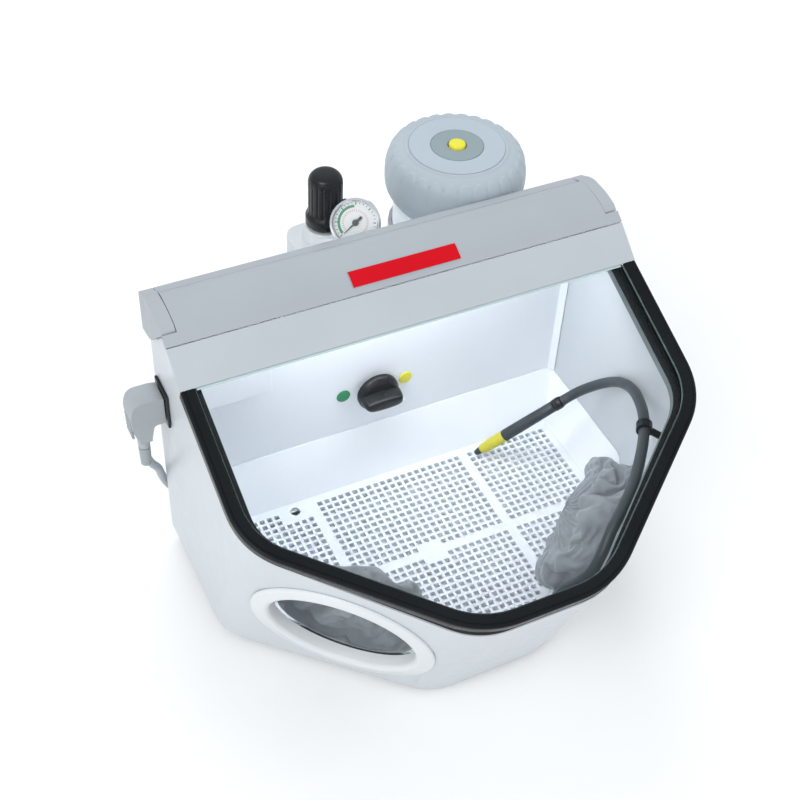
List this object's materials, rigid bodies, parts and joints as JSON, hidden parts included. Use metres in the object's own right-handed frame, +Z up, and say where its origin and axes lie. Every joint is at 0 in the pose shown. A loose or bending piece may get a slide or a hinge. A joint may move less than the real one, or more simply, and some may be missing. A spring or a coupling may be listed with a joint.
{
  "type": "sandblast cabinet",
  "caption": "Bench-top abrasive blasting cabinet: slanted hinged window lid, sleeved arm ports, pencil handpiece on a hose, floor grid, rear abrasive tank and pressure regulator with gauge.",
  "frame": {"origin": "on the bench under the middle of the cabinet's bounding box, mains lead not counted", "axes": "+X to the right seen from the front, +Y to the rear where tank and regulator stand, +Z up"},
  "size_m": [0.4106, 0.4338, 0.3096],
  "materials": {
    "housing_white": "satin white moulded plastic",
    "liner_white": "satin white moulded plastic, cool tint",
    "grid_white": "satin white perforated plastic",
    "bar_grey": "satin grey paint",
    "cap_grey": "fine-grained grey plastic",
    "trim_black": "satin black",
    "seal_rubber": "matt black rubber",
    "pane_glass": "clear glass with a pale green edge",
    "sleeve_fabric": "grey woven fabric",
    "plate_red": "plain red plate",
    "spot_green": "plain green",
    "spot_yellow": "plain yellow",
    "sleeve_yellow": "satin yellow",
    "slate_plastic": "satin slate",
    "hose_rubber": "satin slate rubber",
    "knob_black": "satin black",
    "tank_clear_grey": "translucent pale plastic",
    "cap_tank_grey": "satin grey plastic",
    "regulator_grey": "satin pale grey paint",
    "light_plastic": "satin pale grey plastic",
    "lamp_white": "opal diffuser",
    "dial_white": "white dial face",
    "chrome_bezel": "polished chrome",
    "brass_fitting": "satin brass",
    "steel_part": "brushed steel",
    "cord_grey": "pale grey cord jacket"
  },
  "bodies": {
    "cabinet": {"housing_shell": "housing_white", "chamber_tub": "liner_white", "back_liner": "liner_white", "floor_grid": "grid_white", "rim_seal": "seal_rubber", "rear_strip": "bar_grey", "end_cap_left": "cap_grey", "end_cap_right": "cap_grey", "hinge_pin_left": "steel_part", "hinge_pin_right": "steel_part", "arm_ring_left": "housing_white", "arm_ring_right": "housing_white", "arm_sleeve_left": "sleeve_fabric", "arm_sleeve_right": "sleeve_fabric", "foot_1": "seal_rubber", "foot_2": "seal_rubber", "foot_3": "seal_rubber", "foot_4": "seal_rubber", "electrics_box": "liner_white", "mains_inlet": "knob_black", "extraction_port": "light_plastic", "selector_valve": "brass_fitting", "green_dot": "spot_green", "yellow_dot": "spot_yellow", "hose_bulkhead": "brass_fitting", "blast_hose": "hose_rubber", "hose_clip": "trim_black", "handpiece_ferrule": "knob_black", "handpiece_grip": "slate_plastic", "nozzle_sleeve": "sleeve_yellow", "nozzle_tip": "slate_plastic", "tank_body": "tank_clear_grey", "tank_bracket": "steel_part", "tank_outlet": "brass_fitting", "regulator_body": "regulator_grey", "regulator_bracket": "steel_part", "air_inlet": "brass_fitting", "gauge_case": "chrome_bezel", "gauge_dial": "dial_white", "gauge_lens": "pane_glass", "lead_connector": "cord_grey", "mains_lead": "cord_grey", "lead_coil": "cord_grey", "mains_plug": "cord_grey"},
    "lid": {"hinge_bar": "bar_grey", "front_panel": "bar_grey", "bar_label": "plate_red", "window_pane": "pane_glass", "window_trim": "trim_black", "pane_clamp": "bar_grey", "lamp_housing": "light_plastic", "lamp_diffuser": "lamp_white"},
    "selector": {"selector_spindle": "steel_part", "selector_knob": "knob_black"},
    "regulator_stem": {"regulator_spindle": "steel_part"},
    "regulator_cap": {"regulator_knob": "knob_black"},
    "gauge_hand": {"gauge_needle": "knob_black"},
    "cap_carrier": {"cap_seal_disc": "seal_rubber"},
    "tank_lid": {"tank_cap": "cap_tank_grey", "cap_button": "spot_yellow"}
  },
  "joints": [
    {"name": "lid_hinge", "type": "hinge", "parent": "cabinet", "child": "lid", "pos_m": [0, 0.07385, 0.284], "axis": [-1, 0, 0], "range_deg": [0, 70]},
    {"name": "selector_turn", "type": "hinge", "parent": "cabinet", "child": "selector", "pos_m": [0, 0.07785, 0.125], "axis": [0, -1, 0], "range_deg": [0, 180]},
    {"name": "regulator_turn", "type": "hinge", "parent": "cabinet", "child": "regulator_stem", "pos_m": [-0.017, 0.15085, 0.25], "axis": [0, 0, 1], "range_deg": [-360, 360]},
    {"name": "regulator_pull", "type": "slide", "parent": "regulator_stem", "child": "regulator_cap", "axis": [0, 0, 1], "range_m": [0, 0.003]},
    {"name": "gauge_hand_turn", "type": "hinge", "parent": "cabinet", "child": "gauge_hand", "pos_m": [-0.0069, 0.11385, 0.283], "axis": [0.3766, 0.8075, -0.454], "range_deg": [0, 270], "stiffness_Nm_per_rad": 0.001, "springref_deg": -5.73},
    {"name": "cap_lift", "type": "slide", "parent": "cabinet", "child": "cap_carrier", "axis": [0, 0, 1], "range_m": [0, 0.0125]},
    {"name": "cap_turn", "type": "hinge", "parent": "cap_carrier", "child": "tank_lid", "pos_m": [0.1054, 0.15685, 0.28], "axis": [0, 0, 1], "range_deg": [0, 720]}
  ],
  "couplings": [
    {"joint": "cap_lift", "follows": "cap_turn", "m_per_rad": 0.000955}
  ]
}
